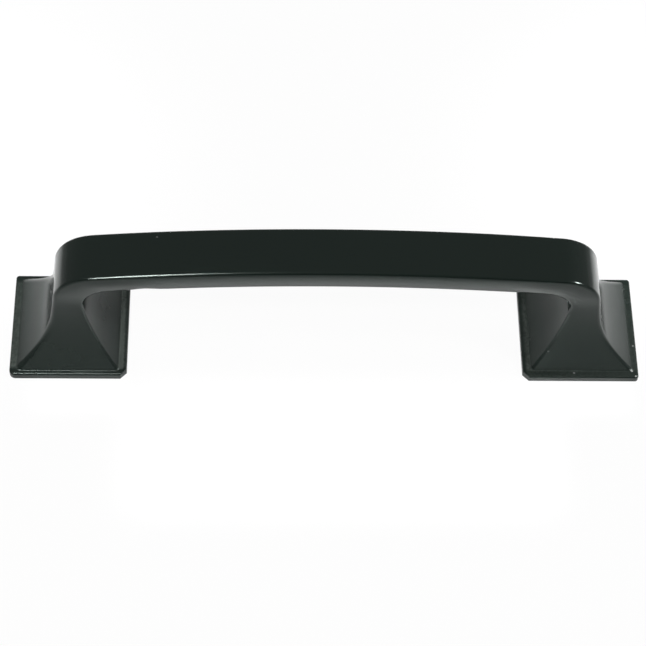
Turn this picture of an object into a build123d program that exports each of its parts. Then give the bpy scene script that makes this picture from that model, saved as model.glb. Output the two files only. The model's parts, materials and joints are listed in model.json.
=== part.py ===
from build123d import *
import os

# Fixing: two machine screws from behind, at a standard hole spacing for this length of pull.
hole_spacing = 96.0
tap_drill_radius = 1.65
tap_depth = 11.0
tap_mouth = 0.4

# Bar: a flat rectangular section, bowed to a shallow arch.
projection = 27.65
arch_radius = 372.0
bar_width = 9.65
bar_thickness = 4.5
edge_round = 0.5

# Legs: the outside and inside of the bend, and how far each side stands from the hole centre.
outer_bend_radius = 8.2
inner_bend_radius = 5.4
leg_lean = 8.0
leg_outside = 2.2
waist_inside = 3.4

# Flares: the heights from which the leg's outer, inner and two broad sides spread to the foot.
outer_flare_height = 15.2
waist_height = 19.3
side_flare_height = 19.3

# Feet: square plinths, with a narrow ledge left all round the flared leg.
foot_side = 21.8
plinth_height = 1.5
outer_ledge = 1.2
inner_ledge = 1.4
side_ledge = 0.95
ledge_round = 0.3
plinth_round = 0.4
outer_corner_round = 0.6
inner_corner_cut = 1.2

hole_x = hole_spacing / 2
foot_half = foot_side / 2
overall_length = hole_spacing + foot_side
above_crown = projection + bar_thickness
arch_centre = (0, projection - arch_radius)
outer_toe = (hole_x + foot_half - outer_ledge, plinth_height)
inner_toe = (hole_x - foot_half + inner_ledge, plinth_height)
side_toe = (foot_half - side_ledge, plinth_height)

# The finger space under the bar, seen from the front: narrow at the toes, widest at the waist.
with BuildSketch(Plane.XZ) as finger_space:
    waist = (hole_x - waist_inside, waist_height)
    over_waist = (inner_toe[0], 2 * waist_height - plinth_height)
    with BuildLine():
        Line((0, plinth_height), inner_toe)
        ThreePointArc(inner_toe, waist, over_waist)
        Line(over_waist, (0, over_waist[1]))
        mirror(about=Plane.YZ)
    make_face()
    with Locations(arch_centre):
        Circle(arch_radius - bar_thickness, mode=Mode.INTERSECT)
    fillet(finger_space.vertices().group_by(Axis.Y)[-1], inner_bend_radius)

# The bow, which is the bar with its two legs: the front outline cut through by the end outline.
with BuildPart() as bow:
    with BuildSketch(Plane.XZ) as front:
        leg_foot = Vector(hole_x + leg_outside, outer_flare_height)
        leg_run = Vector(0, above_crown - outer_flare_height).rotate(Axis.Z, leg_lean)
        with BuildLine():
            leg = Line(leg_foot + leg_run, leg_foot)
            flare = TangentArc(leg @ 1, outer_toe, tangent=leg % 1)
            Line(flare @ 1, (0, plinth_height))
            Line(leg @ 0, (0, (leg @ 0).Y))
            mirror(about=Plane.YZ)
        make_face()
        with Locations(arch_centre):
            Circle(arch_radius, mode=Mode.INTERSECT)
        fillet(front.vertices().group_by(Axis.Y)[-1], outer_bend_radius)
        add(finger_space.sketch_local, mode=Mode.SUBTRACT)
    extrude(amount=foot_half, both=True)

    with BuildSketch(Plane.YZ):
        with BuildLine():
            side = Line((bar_width / 2, above_crown), (bar_width / 2, side_flare_height))
            flare = TangentArc(side @ 1, side_toe, tangent=side % 1)
            Line(flare @ 1, (0, plinth_height))
            Line(side @ 0, (0, above_crown))
            mirror(about=Plane.YZ)
        make_face()
    extrude(amount=overall_length, both=True, mode=Mode.INTERSECT)

    # Every edge that runs along the bow, and none that crosses it.
    long_edges = bow.edges().filter_by(Axis.X, reverse=True).filter_by(Axis.Y, reverse=True)
    fillet(long_edges, edge_round)

# The whole casting: the bow on its two plinths, with a tapped hole in the back of each foot.
with BuildPart() as pull:
    with BuildSketch(Plane.XY) as plinths:
        with Locations((-hole_x, 0), (hole_x, 0)):
            Rectangle(foot_side, foot_side)
        chamfer(plinths.vertices().filter_by_position(Axis.X, -hole_x, hole_x), inner_corner_cut)
        along_length = plinths.vertices().group_by(Axis.X)
        fillet(along_length[0] + along_length[-1], outer_corner_round)
    extrude(amount=plinth_height)
    fillet(pull.faces().group_by(Axis.Z)[-1].edges(), plinth_round)
    add(bow.part)

    ledges = pull.faces().filter_by(Plane.XY).group_by(Axis.Z)[-1]
    ledge_creases = [wire.edges() for ledge in ledges for wire in ledge.inner_wires()]
    fillet(ledge_creases, ledge_round)

    with Locations(Location((-hole_x, 0, 0), (180, 0, 0)), Location((hole_x, 0, 0), (180, 0, 0))):
        Hole(tap_drill_radius, depth=tap_depth)
    backs = pull.faces().filter_by(Plane.XY).group_by(Axis.Z)[0]
    hole_mouths = [wire.edges() for back in backs for wire in back.inner_wires()]
    chamfer(hole_mouths, tap_mouth)

pull.part.label = "pull"

os.makedirs("parts", exist_ok=True)
export_step(pull.part, "parts/pull.step")
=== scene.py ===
import json
import math

import bpy
import numpy as np
from mathutils import Matrix, Vector


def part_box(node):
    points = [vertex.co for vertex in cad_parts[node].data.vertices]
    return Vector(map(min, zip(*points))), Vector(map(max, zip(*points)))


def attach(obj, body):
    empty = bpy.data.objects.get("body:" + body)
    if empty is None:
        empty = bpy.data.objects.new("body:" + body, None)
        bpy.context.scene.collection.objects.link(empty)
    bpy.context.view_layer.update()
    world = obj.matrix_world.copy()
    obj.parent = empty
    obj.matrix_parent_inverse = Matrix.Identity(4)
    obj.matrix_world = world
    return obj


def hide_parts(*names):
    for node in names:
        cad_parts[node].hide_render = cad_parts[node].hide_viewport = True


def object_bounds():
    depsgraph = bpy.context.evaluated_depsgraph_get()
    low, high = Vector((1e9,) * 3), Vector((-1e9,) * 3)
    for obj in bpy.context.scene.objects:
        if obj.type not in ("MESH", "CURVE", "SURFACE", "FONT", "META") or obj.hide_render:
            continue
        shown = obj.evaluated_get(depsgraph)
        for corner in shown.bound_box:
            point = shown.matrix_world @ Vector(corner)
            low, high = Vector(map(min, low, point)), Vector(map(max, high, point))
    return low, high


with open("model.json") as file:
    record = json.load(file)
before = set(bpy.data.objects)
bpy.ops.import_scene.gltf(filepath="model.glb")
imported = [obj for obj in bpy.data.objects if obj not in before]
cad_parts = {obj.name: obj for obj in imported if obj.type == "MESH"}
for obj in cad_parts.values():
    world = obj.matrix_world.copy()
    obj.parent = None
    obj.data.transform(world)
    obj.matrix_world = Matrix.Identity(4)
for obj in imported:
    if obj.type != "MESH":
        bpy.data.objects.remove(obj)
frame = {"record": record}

cad_low, cad_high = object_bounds()

# The casting: bar, two legs and two feet in one piece of die-cast zinc, with a tapped hole in each foot.
# Its mesh is one run of rings that follows the metal: out of one hole, round the foot, up the leg,
# along the bar, and down the other side the same way.
metres = 0.001
screw_holes = next(m for m in frame["record"]["mounts"] if m["name"] == "screw_holes")
pull_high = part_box("pull")[1]
hole_x = screw_holes["dims"]["spacing_x_mm"] / 2
foot_half = pull_high.y / metres
projection = pull_high.z / metres
arch_radius = 372.0
bar_width = 9.65
bar_thickness = 4.5
edge_round = 0.5
outer_bend_radius = 8.2
inner_bend_radius = 5.4
leg_lean = math.radians(8.0)
leg_outside = 2.2
waist_inside = 3.4
outer_flare_height = 15.2
outer_hollow = 0.38
waist_height = 19.3
side_flare_height = 19.3
plinth_height = 1.5
outer_ledge = 1.2
inner_ledge = 1.4
side_ledge = 0.95
crease_reach = 0.15
crease_rise = 0.14
plinth_round = 0.4
outer_corner_round = 0.6
inner_corner_cut = 1.2
back_edge_break = 0.04
tap_depth = 11.0
tap_mouth = 0.4
tap_radius = 1.65
thread_radius = 2.0
thread_pitch = 0.7
thread_flank = 2.3
thread_crest = 0.1
thread_stop = 1.5
thread_run_out = 1.0

# The broad sides swell a little along the bar, and less in the bends and legs.
side_crown = 0.33
bend_crown = 0.3
crown_start = 30.0
crown_end = 44.0
top_crown = 0.03

# Hand finishing left the two ends unlike: how far out the near and far toes stand, the round of the near
# outer corner, the rounds of the outer hips at three heights, and the depth of a buffed spot on the bar.
hip_heights = (plinth_height, 11.0, 22.0)
buff_x = 33.1
buff_reach = 2.3
right_end = {
    "toes": (-0.47, 0.25),
    "corner": outer_corner_round,
    "hips": (0.55, 1.0, edge_round),
    "buff": 0.0,
}
left_end = {
    "toes": (0.03, 0.10),
    "corner": 1.1,
    "hips": (0.8, 1.25, edge_round),
    "buff": 0.30,
}

# How finely the mesh is divided, and the small steps that keep its flats flat.
hold = 0.12
hold_share = 0.125
least_corner = 0.12
chamfer_sharpness = 0.8
mouth_ease = 0.1
back_land = 1.2
back_inset = 3.0
flat_steps = 9
corner_steps = 6
thread_steps = 10
leg_rings = 48
bend_rings = 36
bar_rings = 64
bend_points = 400
waist_points = 100

# The bow's outline, seen from the front, on its outer and upper side.
arch_centre = np.array((0.0, projection - arch_radius))
leg_up = np.array((-math.sin(leg_lean), math.cos(leg_lean)))
leg_out = np.array((math.cos(leg_lean), math.sin(leg_lean)))
leg_foot = np.array((hole_x + leg_outside, outer_flare_height))
outer_toe = np.array((hole_x + foot_half - outer_ledge, plinth_height))
toe_run = outer_toe - leg_foot
outer_flare_radius = toe_run @ toe_run / (2 * toe_run @ leg_out)
outer_flare_centre = leg_foot + outer_flare_radius * leg_out
bend_line = leg_foot - outer_bend_radius * leg_out - arch_centre
bend_reach = arch_radius - outer_bend_radius
bend_rise = bend_line @ leg_up
bend_climb = math.sqrt(bend_rise ** 2 - bend_line @ bend_line + bend_reach ** 2) - bend_rise
bend_centre = arch_centre + bend_line + bend_climb * leg_up
bend_start = leg_foot + bend_climb * leg_up
bend_end = arch_centre + (bend_centre - arch_centre) * arch_radius / bend_reach

# The bow's outline on its inner and lower side.
under_radius = arch_radius - bar_thickness
inner_toe = np.array((hole_x - foot_half + inner_ledge, plinth_height))
waist_x = hole_x - waist_inside
waist_sag = waist_x - inner_toe[0]
waist_radius = (waist_sag ** 2 + (waist_height - plinth_height) ** 2) / (2 * waist_sag)
waist_centre = np.array((waist_x - waist_radius, waist_height))
waist_to_arch = arch_centre - waist_centre
apart = np.linalg.norm(waist_to_arch)
from_waist = waist_radius - inner_bend_radius
from_arch = under_radius - inner_bend_radius
along = (from_waist ** 2 - from_arch ** 2 + apart ** 2) / (2 * apart)
aside = math.sqrt(from_waist ** 2 - along ** 2)
across_way = np.array((-waist_to_arch[1], waist_to_arch[0])) / apart
inner_bend_centre = waist_centre + waist_to_arch * along / apart + across_way * aside
inner_bend_start = waist_centre + (inner_bend_centre - waist_centre) * waist_radius / from_waist
inner_bend_end = arch_centre + (inner_bend_centre - arch_centre) * under_radius / from_arch

# The bow's outline seen from the end, which both broad sides share.
side_toe = foot_half - side_ledge
side_spread = side_toe - bar_width / 2
side_flare_radius = (side_spread ** 2 + (side_flare_height - plinth_height) ** 2) / (2 * side_spread)


def outer_x(height):
    """Where the leg's outer side stands at a height."""
    if height >= outer_flare_height:
        return leg_foot[0] - (height - outer_flare_height) * math.tan(leg_lean)
    drop = height - outer_flare_centre[1]
    share = (height - plinth_height) / (outer_flare_height - plinth_height)
    hollow = outer_hollow * math.sin(math.pi * share) ** 2
    return outer_flare_centre[0] - math.sqrt(outer_flare_radius ** 2 - drop ** 2) - hollow


def inner_x(height):
    """Where the leg's inner side stands at a height."""
    return waist_centre[0] + math.sqrt(waist_radius ** 2 - (height - waist_height) ** 2)


def leg_ends(height):
    """The points of the leg's outer and inner sides at a height, seen from the front."""
    return np.array((outer_x(height), height)), np.array((inner_x(height), height))


def half_width(height):
    """How far a broad side stands from the middle at a height."""
    drop = np.minimum(height - side_flare_height, 0)
    return bar_width / 2 + side_flare_radius - np.sqrt(side_flare_radius ** 2 - drop ** 2)


def arc(centre, start, end, count):
    """Points along the arc about a centre, from one point to another."""
    first = math.atan2(start[1] - centre[1], start[0] - centre[0])
    last = math.atan2(end[1] - centre[1], end[0] - centre[0])
    turn = np.linspace(first, last, count)
    radius = np.linalg.norm(start - centre)
    return centre + radius * np.stack((np.cos(turn), np.sin(turn)), axis=1)


def evenly(path, count):
    """The same path with its points an equal way apart."""
    steps = np.linalg.norm(np.diff(path, axis=0), axis=1)
    travelled = np.concatenate(((0,), np.cumsum(steps)))
    wanted = np.linspace(0, travelled[-1], count)
    return np.stack([np.interp(wanted, travelled, path[:, axis]) for axis in (0, 1)], axis=1)


def flat(start, end):
    """Places along a flat between two roundings, with one close to each end to keep the flat flat."""
    near = math.copysign(min(hold, abs(end - start) * hold_share), end - start)
    inside = np.linspace(start, end, flat_steps + 2)[1:-1]
    return np.concatenate(((start, start + near), inside, (end - near,)))


# The two forms of a corner: how far each point has left the side that it comes from, and how far it has
# gone on along it, as shares of the corner's size.
quarter = np.linspace(0, math.pi / 2, corner_steps + 1)[:-1]
rounded = (1 - np.cos(quarter), np.sin(quarter))
cut_places = np.linspace(0, 1, corner_steps + 1)[:-1]
cut = (cut_places, cut_places)


def section(depth, half, outer_corner, inner_corner, near_size=None):
    """A rectangular ring: each point's depth from the outer side, and its place across."""
    outer_size, (outer_p, outer_q) = outer_corner
    inner_size, (inner_p, inner_q) = inner_corner
    near_size = near_size or outer_size
    across_outer = flat(near_size - half, half - outer_size)
    across_inner = flat(half - inner_size, inner_size - half)
    down = flat(outer_size, depth - inner_size)
    up = flat(depth - inner_size, near_size)
    a = np.concatenate((
        np.zeros_like(across_outer), outer_size * outer_p,
        down, depth - inner_size + inner_size * inner_q,
        np.full_like(across_inner, depth), depth - inner_size * inner_p,
        up, near_size - near_size * outer_q,
    ))
    y = np.concatenate((
        across_outer, half - outer_size + outer_size * outer_q,
        np.full_like(down, half), half - inner_size * inner_p,
        across_inner, inner_size - half - inner_size * inner_q,
        np.full_like(up, -half), near_size * outer_p - half,
    ))
    return a, y


def shift_toes(y, half, height, toes):
    """Moves the near and far sides out by their shares of what the fettling left over at the toes."""
    near, far = toes
    share = np.clip((side_flare_height - height) / (side_flare_height - plinth_height), 0, 1) ** 2
    return y * (1 + np.where(y < 0, near, far) * share / half)


def bow_ring(outer, inner, crown, end):
    """A ring of the bow, between a point of its outer outline and one of its inner outline."""
    run = inner - outer
    depth = np.linalg.norm(run)
    half = float(half_width((outer[1] + inner[1]) / 2))
    hip = np.interp(outer[1], hip_heights, end["hips"])
    a, y = section(depth, half, (hip, rounded), (edge_round, rounded))
    a = a + crown * top_crown * (y / half) ** 2 * (1 - a / depth)
    y = y * (1 + crown * side_crown / half * (1 - (2 * a / depth - 1) ** 2))
    x, z = (outer + run * (a / depth)[:, None]).T
    near_edge = np.clip(2 * a / depth - 1, 0, 1) ** 2 * np.clip(-y / half, 0, 1)
    y = y + end["buff"] * near_edge * np.exp(-((x - buff_x) / buff_reach) ** 2)
    y = shift_toes(y * half_width(z) / half, half, z, end["toes"])
    return np.stack((x, y, z), axis=1)


def foot_ring(outer, inner, half, height, outer_corner, inner_corner, near_size=None):
    """A level ring of the foot."""
    a, y = section(outer - inner, half, outer_corner, inner_corner, near_size)
    return np.stack((outer - a, y, np.full_like(a, height)), axis=1)


def plinth_ring(inset, height, near_round):
    """A level ring of the plinth, this far inside its outline."""
    cut_shrink = inset * (2 - math.sqrt(2) * (1 - chamfer_sharpness))
    outer_size = max(outer_corner_round - inset, least_corner)
    near_size = max(near_round - inset, least_corner)
    inner_size = max(inner_corner_cut - cut_shrink, least_corner)
    outer, inner = hole_x + foot_half - inset, hole_x - foot_half + inset
    corners = (outer_size, rounded), (inner_size, cut)
    return foot_ring(outer, inner, foot_half - inset, height, *corners, near_size)


def toe_ring(spread, end):
    """A level ring on the ledge, this far outside the leg's toe."""
    corners = (end["hips"][0] + spread, rounded), (edge_round + spread, rounded)
    outer, inner = outer_toe[0] + spread, inner_toe[0] - spread
    ring = foot_ring(outer, inner, side_toe + spread, plinth_height, *corners)
    ring[:, 1] = shift_toes(ring[:, 1], side_toe, plinth_height, end["toes"])
    return ring


# Every ring has the same number of points. Those of the hole start where the plinth's start.
around = len(plinth_ring(0, 0, outer_corner_round))
hole_turn = np.arange(around) * math.tau / around - math.tau / 8 + math.tau / around


def hole_ring(radius, height):
    """A level ring round the hole's axis, with one radius or one for each point."""
    level = np.full(around, height)
    return np.stack((hole_x + radius * np.cos(hole_turn), radius * np.sin(hole_turn), level), axis=1)


def thread_radius_round(height):
    """The tapped hole's radius at each point of a ring: a screw thread that runs out before the bottom."""
    place = (height / thread_pitch - hole_turn / math.tau) % 1
    groove = np.clip(thread_flank * (0.5 - np.abs(place - 0.5)) - thread_crest, 0, 1)
    run_out = min(max((tap_depth - thread_stop - height) / thread_run_out, 0), 1)
    return tap_radius + (thread_radius - tap_radius) * groove * run_out


# The stations of the rings along the bend and the bar, on the outer and the inner outline.
split_height = min(bend_start[1], inner_bend_start[1])
split_outer, split_inner = leg_ends(split_height)
outer_path = np.concatenate((split_outer[None], arc(bend_centre, bend_start, bend_end, bend_points)))
inner_path = np.concatenate((arc(waist_centre, split_inner, inner_bend_start, waist_points),
                             arc(inner_bend_centre, inner_bend_start, inner_bend_end, bend_points)))
crown_top = arch_centre + np.array((0, arch_radius))
crown_under = arch_centre + np.array((0, under_radius))
outer_stations = np.concatenate((evenly(outer_path, bend_rings + 1)[:-1],
                                 arc(arch_centre, bend_end, crown_top, bar_rings + 1)))
inner_stations = np.concatenate((evenly(inner_path, bend_rings + 1)[:-1],
                                 arc(arch_centre, inner_bend_end, crown_under, bar_rings + 1)))
thread_heights = np.arange(tap_depth, tap_mouth, -thread_pitch / thread_steps)
wall_top = plinth_height - plinth_round
crease_height = plinth_height + crease_rise


def half_pull(end):
    """The rings from the bottom of the right hole to the middle of the bar."""
    rings = [hole_ring(thread_radius_round(height), height) for height in thread_heights]
    for share in (mouth_ease, 1 - mouth_ease):
        rings.append(hole_ring(tap_radius + tap_mouth * share, tap_mouth * (1 - share)))
    rings += [hole_ring(tap_radius + tap_mouth + spread, 0.0) for spread in (0, hold, back_land)]
    for inset in (back_inset, back_edge_break + hold, back_edge_break):
        rings.append(plinth_ring(inset, 0.0, end["corner"]))
    for height in (back_edge_break, back_edge_break + hold, wall_top - hold):
        rings.append(plinth_ring(0, height, end["corner"]))
    for turn in np.linspace(0, math.pi / 2, corner_steps + 1):
        inset, rise = plinth_round * (1 - math.cos(turn)), plinth_round * math.sin(turn)
        rings.append(plinth_ring(inset, wall_top + rise, end["corner"]))
    ledge_outer = plinth_ring(plinth_round + hold / 2, plinth_height, end["corner"])
    ledge_inner = toe_ring(crease_reach + hold / 2, end)
    crease_low = toe_ring(crease_reach, end)
    crease_toe = toe_ring(0, end)
    crease_high = bow_ring(*leg_ends(crease_height), 0.0, end)
    rings += [ledge_outer, (ledge_outer + ledge_inner) / 2, ledge_inner, crease_low]
    for s in np.linspace(0, 1, corner_steps + 1)[1:-1]:
        rings.append((1 - s) ** 2 * crease_low + 2 * s * (1 - s) * crease_toe + s ** 2 * crease_high)
    for height in np.linspace(crease_height, split_height, leg_rings + 1)[:-1]:
        share = (height - plinth_height) / (split_height - plinth_height)
        rings.append(bow_ring(*leg_ends(height), bend_crown * share ** 2, end))
    for outer, inner in zip(outer_stations, inner_stations):
        crown = np.interp((outer[0] + inner[0]) / 2, (crown_start, crown_end), (1.0, bend_crown))
        rings.append(bow_ring(outer, inner, crown, end))
    return rings


rings = half_pull(right_end)
rings += [ring * (-1, 1, 1) for ring in half_pull(left_end)[-2::-1]]
points = np.concatenate(rings) * metres
faces = [tuple(range(around))]
for start in range(0, (len(rings) - 1) * around, around):
    for i in range(around):
        j = (i + 1) % around
        faces.append((start + i, start + around + i, start + around + j, start + j))
faces.append(tuple(range(len(points) - 1, len(points) - around - 1, -1)))

casting_mesh = bpy.data.meshes.new("pull_casting")
casting_mesh.from_pydata(points.tolist(), [], faces)
casting_mesh.polygons.foreach_set("use_smooth", [True] * len(faces))
casting_mesh.update()
casting = bpy.data.objects.new("pull_casting", casting_mesh)
bpy.context.collection.objects.link(casting)

# The coat on the casting: satin black lacquer, sprayed and baked, with a faint orange peel. Its gloss
# is uneven from handling, dust is caught in it, a pale haze lies on the ledges of the feet, a few
# nicks show the zinc, and three zinc-coloured spots on the right toe are painted highlights.
coat_colour = (0.0052, 0.0097, 0.0077, 1.0)
coat_tint = (0.87, 1.0, 0.94, 1.0)
coat_ior = 1.42
zinc_colour = (0.52, 0.53, 0.52, 1.0)
noise_span = (0.3, 0.7)
peel_size = 0.6 * metres
peel_depth = 0.0022 * metres

# The bar is polished by hands, and the feet are duller.
bar_roughness = 0.15
foot_roughness = 0.25
polish_span = (9.0 * metres, 19.0 * metres)
smudge_size = 11.0 * metres
smudge_strength = 0.15

# The dust: a speck in the middle of each cell, with its core and edge as shares of the cells' spacing.
dust_colour = (0.055, 0.06, 0.055, 1.0)
dust_spacing = 4.5 * metres
dust_core = 0.02
dust_edge = 0.035
dust_strength = 0.3

# The haze lies on level metal at the ledges' height. Its amount is given at places along the pull, as
# shares of the length, and it is thicker at the front and thinner along the feet's near and far sides.
haze_colour = (0.079, 0.091, 0.082, 1.0)
haze_low = 1.38 * metres
haze_high = 1.60 * metres
haze_rise = 0.08 * metres
haze_fall = 0.25 * metres
haze_level = (0.5, 0.9)
haze_width = 0.55 * metres
haze_at_edge = 0.12
haze_amounts = ((0.0, 0.35), (0.18, 1.10), (0.82, 0.42), (1.0, 0.12))
haze_near = 2.10
haze_far = 0.60
haze_sides = (9.0 * metres, 9.8 * metres)
haze_left_sides = 0.01
haze_right_sides = 0.38
haze_grain = 0.45 * metres
haze_patches = (0.55, 1.3)

# The nicks and the painted highlights: where each one is, its radius, and how much of the zinc colour
# shows. The first three, on the right foot's outer toe, are painted highlights that stand in for the
# right lamp's glints on the toe's corner roundings; the rest are nicks that show the zinc. Noise tears
# their outline, and the zinc fades from the core to the edge, all as shares of the radius.
nick_and_glint_grain = 0.35 * metres
nick_and_glint_tear = 1.2
nick_and_glint_core = 1.2
nick_and_glint_edge = 1.6
nicks_and_glints = (
    ((58.29, -4.04, 1.50), 0.22, 0.30),
    ((57.65, -9.49, 1.52), 0.24, 0.60),
    ((58.32, -10.58, 1.42), 0.22, 0.60),
    ((46.73, -9.99, 1.51), 0.24, 0.22),
    ((41.51, -7.67, 5.43), 0.26, 0.14),
    ((-30.81, 3.56, 26.40), 0.24, 0.14),
)


def join(tree, socket, value):
    """Sets an input to a value, or joins it to an output."""
    if isinstance(value, bpy.types.NodeSocket):
        tree.links.new(value, socket)
    else:
        socket.default_value = value


def add(tree, kind, *inputs, settings=None, **named):
    """A node of this kind, with its settings made and its inputs joined in order or by name."""
    made = tree.nodes.new(kind)
    for name, value in (settings or {}).items():
        setattr(made, name, value)
    for socket, value in zip(made.inputs, inputs):
        join(tree, socket, value)
    for name, value in named.items():
        join(tree, made.inputs[name.replace("_", " ")], value)
    return made


def maths(tree, operation, *inputs):
    """The outcome of an operation on its inputs."""
    return add(tree, "ShaderNodeMath", *inputs, settings={"operation": operation}).outputs[0]


def distance(tree, first, second):
    """How far one place is from another."""
    made = add(tree, "ShaderNodeVectorMath", first, second, settings={"operation": "DISTANCE"})
    return made.outputs["Value"]


def noise(tree, place, size, **named):
    """Noise with grains of this size."""
    return add(tree, "ShaderNodeTexNoise", Vector=place, Scale=1 / size, **named).outputs[0]


def remap(tree, value, span, onto=(0.0, 1.0), ease="LINEAR"):
    """A value carried from one span onto another, and held at the ends."""
    made = add(tree, "ShaderNodeMapRange", settings={"interpolation_type": ease}, Value=value,
               From_Min=span[0], From_Max=span[1], To_Min=onto[0], To_Max=onto[1])
    return made.outputs[0]


def mixed(tree, share, first, second):
    """Two colours mixed, with this share of the second."""
    made = add(tree, "ShaderNodeMix", share, settings={"data_type": "RGBA"})
    sockets = {socket.identifier: socket for socket in [*made.inputs, *made.outputs]}
    join(tree, sockets["A_Color"], first)
    join(tree, sockets["B_Color"], second)
    return sockets["Result_Color"]


nick_and_glint_group = bpy.data.node_groups.new("nick_and_glint", "ShaderNodeTree")
nick_and_glint_group.interface.new_socket("Place", in_out="INPUT", socket_type="NodeSocketVector")
nick_and_glint_group.interface.new_socket("Centre", in_out="INPUT", socket_type="NodeSocketVector")
nick_and_glint_group.interface.new_socket("Radius", in_out="INPUT", socket_type="NodeSocketFloat")
nick_and_glint_group.interface.new_socket("Strength", in_out="INPUT", socket_type="NodeSocketFloat")
nick_and_glint_group.interface.new_socket("Mask", in_out="OUTPUT", socket_type="NodeSocketFloat")
into = nick_and_glint_group.nodes.new("NodeGroupInput").outputs
ragged = noise(nick_and_glint_group, into["Place"], nick_and_glint_grain, Detail=2.0)
away = distance(nick_and_glint_group, into["Place"], into["Centre"])
reach = maths(nick_and_glint_group, "DIVIDE", away, into["Radius"])
torn = maths(nick_and_glint_group, "MULTIPLY_ADD", ragged, nick_and_glint_tear, reach)
fall = remap(nick_and_glint_group, torn, (nick_and_glint_core, nick_and_glint_edge), (1.0, 0.0), "SMOOTHSTEP")
shown = maths(nick_and_glint_group, "MULTIPLY", fall, into["Strength"])
add(nick_and_glint_group, "NodeGroupOutput", Mask=shown)

coat = bpy.data.materials.new("satin_black_coat")
coat.use_nodes = True
tree = coat.node_tree
shader = tree.nodes["Principled BSDF"]
surface = add(tree, "ShaderNodeTexCoord").outputs
place = surface["Object"]
parts = add(tree, "ShaderNodeSeparateXYZ", Vector=place).outputs
facing = add(tree, "ShaderNodeSeparateXYZ", Vector=surface["Normal"]).outputs["Z"]
whole_length = (cad_low.x, cad_high.x)
whole_width = (cad_low.y, cad_high.y)

smudge = noise(tree, place, smudge_size, Detail=4.0, Roughness=0.55)
uneven = remap(tree, smudge, noise_span, (1 - smudge_strength, 1 + smudge_strength))
polish = remap(tree, parts["Z"], polish_span, (foot_roughness, bar_roughness), "SMOOTHSTEP")
gloss = maths(tree, "MULTIPLY", polish, uneven)
peel = noise(tree, place, peel_size, Detail=2.0, Roughness=0.45)
bump = add(tree, "ShaderNodeBump", Height=peel, Distance=peel_depth, Strength=1.0)

edge_from_hole = foot_half * metres
from_hole = maths(tree, "SUBTRACT", maths(tree, "ABSOLUTE", parts["X"]), hole_x * metres)
off_middle = maths(tree, "ABSOLUTE", parts["Y"])
on_sides = remap(tree, parts["X"], whole_length, (haze_left_sides, haze_right_sides))
amount = add(tree, "ShaderNodeValToRGB", Fac=remap(tree, parts["X"], whole_length))
# A new ramp already holds two stops.
stops = amount.color_ramp.elements
for index, (position, share) in enumerate(haze_amounts):
    stop = stops[index] if index < 2 else stops.new(position)
    stop.position = position
    stop.color = (share, share, share, 1.0)
haze = remap(tree, parts["Z"], (haze_low - haze_rise, haze_low), ease="SMOOTHSTEP")
for more in (
    remap(tree, parts["Z"], (haze_high, haze_high + haze_fall), (1.0, 0.0), "SMOOTHSTEP"),
    remap(tree, facing, haze_level),
    remap(tree, from_hole, (haze_width / 2 - edge_from_hole, 2 * haze_width - edge_from_hole),
          (haze_at_edge, 1.0), "SMOOTHSTEP"),
    remap(tree, off_middle, haze_sides, (1.0, on_sides)),
    amount.outputs["Color"],
    remap(tree, parts["Y"], whole_width, (haze_near, haze_far)),
    remap(tree, noise(tree, place, haze_grain, Detail=3.0), noise_span, haze_patches),
):
    haze = maths(tree, "MULTIPLY", haze, more)

speck = add(tree, "ShaderNodeTexVoronoi", Vector=place, Scale=1 / dust_spacing, Randomness=1.0)
dust = remap(tree, speck.outputs["Distance"], (dust_core, dust_edge), (dust_strength, 0.0))
bare_zinc_and_glint = 0.0
# Bare zinc at the nicks, and zinc-coloured painted highlights at the three spots on the right toe.
for centre, radius, strength in nicks_and_glints:
    nick_and_glint = add(tree, "ShaderNodeGroup", settings={"node_tree": nick_and_glint_group}, Place=place,
               Centre=Vector(centre) * metres, Radius=radius * metres, Strength=strength)
    bare_zinc_and_glint = maths(tree, "MAXIMUM", bare_zinc_and_glint, nick_and_glint.outputs["Mask"])
hazed = mixed(tree, haze, coat_colour, haze_colour)
dusted = mixed(tree, dust, hazed, dust_colour)
worn_and_glinting = mixed(tree, bare_zinc_and_glint, dusted, zinc_colour)
tree.links.new(worn_and_glinting, shader.inputs["Base Color"])
tree.links.new(gloss, shader.inputs["Roughness"])
tree.links.new(bump.outputs["Normal"], shader.inputs["Normal"])
shader.inputs["IOR"].default_value = coat_ior
shader.inputs["Specular Tint"].default_value = coat_tint
casting_mesh.materials.append(coat)

# The threads: the two screw holes, tapped into the backs of the feet after the coat was baked.
# The cut metal is left bare, so they are plain zinc, stained a little darker in places.
stained_colour = (0.30, 0.30, 0.29, 1.0)
stain_size = 0.8 * metres
zinc_roughness = 0.38
thread_metal = bpy.data.materials.new("cut_zinc")
thread_metal.use_nodes = True
tree = thread_metal.node_tree
shader = tree.nodes["Principled BSDF"]
stain = noise(tree, add(tree, "ShaderNodeTexCoord").outputs["Object"], stain_size, Detail=3.0)
tree.links.new(mixed(tree, stain, stained_colour, zinc_colour), shader.inputs["Base Color"])
shader.inputs["Metallic"].default_value = 1.0
shader.inputs["Roughness"].default_value = zinc_roughness
casting_mesh.materials.append(thread_metal)
cut_faces = (len(thread_heights) - 1) * around + 1
material_of = np.zeros(len(faces), dtype=np.int32)
material_of[:cut_faces] = 1
material_of[-cut_faces:] = 1
casting_mesh.polygons.foreach_set("material_index", material_of)

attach(casting, "root")
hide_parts("pull")

# The floor: a white sheet, far larger than the view. It lifts towards white where it is seen,
# keeps a trace of the shadow, and lets the back of the pull be seen from below. In reflections its
# colour darkens away from the pull, a painted shade for the floor being less lit far off.
floor_half = 2.0
floor_drop = 0.02 * metres
floor_colour = (0.86, 0.86, 0.86, 1.0)
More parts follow.
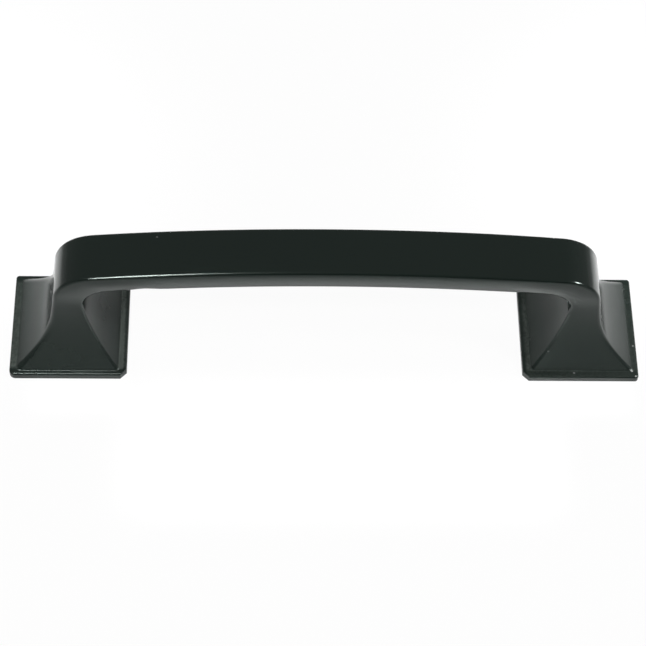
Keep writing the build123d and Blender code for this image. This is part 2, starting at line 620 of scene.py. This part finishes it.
# The far colour is a painted shade: the sheet, seen in reflections, darkens to it away from the pull.
far_shade_colour = (0.33, 0.33, 0.33, 1.0)
shade_fade_span = (0.08, 0.17)
camera_lift = 0.95
mirror_lift = 0.30
white = (1.0, 1.0, 1.0, 1.0)
corner_signs = ((-1, -1), (1, -1), (1, 1), (-1, 1))
floor_mesh = bpy.data.meshes.new("floor")
floor_mesh.from_pydata([(x * floor_half, y * floor_half, 0) for x, y in corner_signs], [], [(0, 1, 2, 3)])
floor = bpy.data.objects.new("floor", floor_mesh)
floor.location.z = cad_low.z - floor_drop
bpy.context.collection.objects.link(floor)
sheet = bpy.data.materials.new("white_sheet")
sheet.use_nodes = True
tree = sheet.node_tree
tree.nodes.clear()
ray = add(tree, "ShaderNodeLightPath").outputs
mirrored = maths(tree, "MAXIMUM", ray["Is Glossy Ray"], ray["Is Transmission Ray"])
lift = maths(tree, "MULTIPLY", ray["Is Camera Ray"], camera_lift)
whitened = maths(tree, "MULTIPLY_ADD", mirrored, mirror_lift, lift)
# Painted shade: away from the pull the sheet darkens in reflections, but not where the camera sees it.
from_pull = distance(tree, add(tree, "ShaderNodeTexCoord").outputs["Object"], (0.0, 0.0, 0.0))
shade_fade = remap(tree, from_pull, shade_fade_span, ease="SMOOTHSTEP")
unseen = maths(tree, "SUBTRACT", 1.0, ray["Is Camera Ray"])
paper_with_painted_shade = mixed(tree, maths(tree, "MULTIPLY", shade_fade, unseen), floor_colour, far_shade_colour)
matt = add(tree, "ShaderNodeBsdfDiffuse", Color=paper_with_painted_shade).outputs["BSDF"]
glow = add(tree, "ShaderNodeEmission", Color=white, Strength=1.0).outputs["Emission"]
upper = add(tree, "ShaderNodeMixShader", whitened, matt, glow).outputs["Shader"]
clear = add(tree, "ShaderNodeBsdfTransparent").outputs["BSDF"]
below = add(tree, "ShaderNodeNewGeometry").outputs["Backfacing"]
both_sides = add(tree, "ShaderNodeMixShader", below, upper, clear).outputs["Shader"]
add(tree, "ShaderNodeOutputMaterial", Surface=both_sides)
floor_mesh.materials.append(sheet)

# The light: a dim even room with a pale horizon in front, two soft lamps over the pull, and two more that
# only glint in the coat. Two spots light the floor beyond the ends, and three small panels light nothing
# but the floor in front, because a coat as dark as this one shows little but what it reflects.
room_level = 0.35
room_front = 0.04
room_horizon = 1.0
horizon_span = (0.05, 0.35)
front_span = (-0.75, -0.35)
world = bpy.data.worlds.new("room")
bpy.context.scene.world = world
world.use_nodes = True
tree = world.node_tree
outward = add(tree, "ShaderNodeTexCoord").outputs["Generated"]
sky = add(tree, "ShaderNodeSeparateXYZ", Vector=outward).outputs
in_front = remap(tree, sky["Z"], horizon_span, (room_horizon, room_front), "SMOOTHSTEP")
room = remap(tree, sky["Y"], front_span, (in_front, room_level), "SMOOTHSTEP")
ray = add(tree, "ShaderNodeLightPath").outputs
backdrop = tree.nodes["Background"]
tree.links.new(maths(tree, "MAXIMUM", room, ray["Is Camera Ray"]), backdrop.inputs["Color"])
backdrop.inputs["Strength"].default_value = 1.0


def hang(light, place, target=None):
    """Hangs a light at a place, facing a target or else straight down, and keeps it out of the picture."""
    lamp = bpy.data.objects.new(light.name, light)
    lamp.location = place
    if target is not None:
        lamp.rotation_mode = "QUATERNION"
        lamp.rotation_quaternion = (target - place).to_track_quat("-Z", "Y")
    lamp.visible_camera = False
    bpy.context.collection.objects.link(lamp)
    return lamp


# Each lamp's way from the pull, its width, its power, and whether it lights more than the gloss.
lamp_distance = 1.0
lamps = (
    ("key_left", (-0.28, -0.40, 0.87), 0.13, 3.6, True),
    ("key_right", (0.74, -0.12, 0.66), 0.13, 2.7, True),
    ("glint_left", (-0.24, -0.14, 0.96), 0.15, 5.2, False),
    ("glint_right", (0.74, 0.08, 0.62), 0.22, 11.0, False),
)
for name, way, width, power, on_floor in lamps:
    light = bpy.data.lights.new(name, "AREA")
    light.shape = "DISK"
    light.size = width
    light.energy = power
    lamp = hang(light, Vector(way).normalized() * lamp_distance, Vector((0.0, 0.0, 0.0)))
    lamp.visible_diffuse = on_floor

# Each spot's target on the floor, its place, its cone and its power.
wash_softness = 20.0 * metres
washes = (
    ("wash_left", (-76.0, 37.0, 0.0), (-84.0, 43.0, 150.0), 38.0, 1.35),
    ("wash_right", (76.0, 37.0, 0.0), (84.0, 43.0, 150.0), 38.0, 1.8),
)
for name, target, stand, cone, power in washes:
    light = bpy.data.lights.new(name, "SPOT")
    light.energy = power
    light.spot_size = math.radians(cone)
    light.spot_blend = 1.0
    light.shadow_soft_size = wash_softness
    wash = hang(light, Vector(stand) * metres, Vector(target) * metres)
    wash.visible_glossy = False

# Each panel's place over the floor, its width and depth, and its power.
panel_spread = math.radians(14.0)
panels = (
    ("wash_front", (3.0, -25.5, 60.0), (78.0, 25.0), 0.0088),
    ("wash_foot_left", (-46.0, -14.5, 30.0), (17.0, 6.0), 0.00033),
    ("wash_foot_right", (47.0, -13.6, 30.0), (19.0, 7.0), 0.00048),
)
floor_alone = bpy.data.collections.new("floor_alone")
floor_alone.objects.link(floor)
for name, stand, (width, depth), power in panels:
    light = bpy.data.lights.new(name, "AREA")
    light.shape = "RECTANGLE"
    light.size = width * metres
    light.size_y = depth * metres
    light.spread = panel_spread
    light.energy = power
    panel = hang(light, Vector(stand) * metres)
    panel.visible_glossy = False
    panel.light_linking.receiver_collection = floor_alone

# The camera: it stands where the photograph was taken from, high over the front of the pull with a
# long lens, turned and rolled by a few degrees.
elevation = 1.03158
yaw = -0.05765
roll = 0.05541
distance_off = 391.62 * metres
aim = Vector((-0.267, 1.521, 0.0)) * metres
focal_pixels = 2056.16
image_pixels = 646
sensor_width = 36.0
nearest = 0.01
farthest = 20.0
lens_data = bpy.data.cameras.new("camera")
lens_data.sensor_width = sensor_width
lens_data.lens = focal_pixels * sensor_width / image_pixels
lens_data.clip_start = nearest
lens_data.clip_end = farthest
camera = bpy.data.objects.new("camera", lens_data)
back = Vector((
    math.sin(yaw) * math.cos(elevation),
    -math.cos(yaw) * math.cos(elevation),
    math.sin(elevation),
))
camera.matrix_world = (Matrix.Translation(aim + back * distance_off) @ Matrix.Rotation(yaw, 4, "Z")
                       @ Matrix.Rotation(math.pi / 2 - elevation, 4, "X") @ Matrix.Rotation(roll, 4, "Z"))
bpy.context.collection.objects.link(camera)
bpy.context.scene.camera = camera
bpy.context.scene.view_settings.view_transform = "Standard"
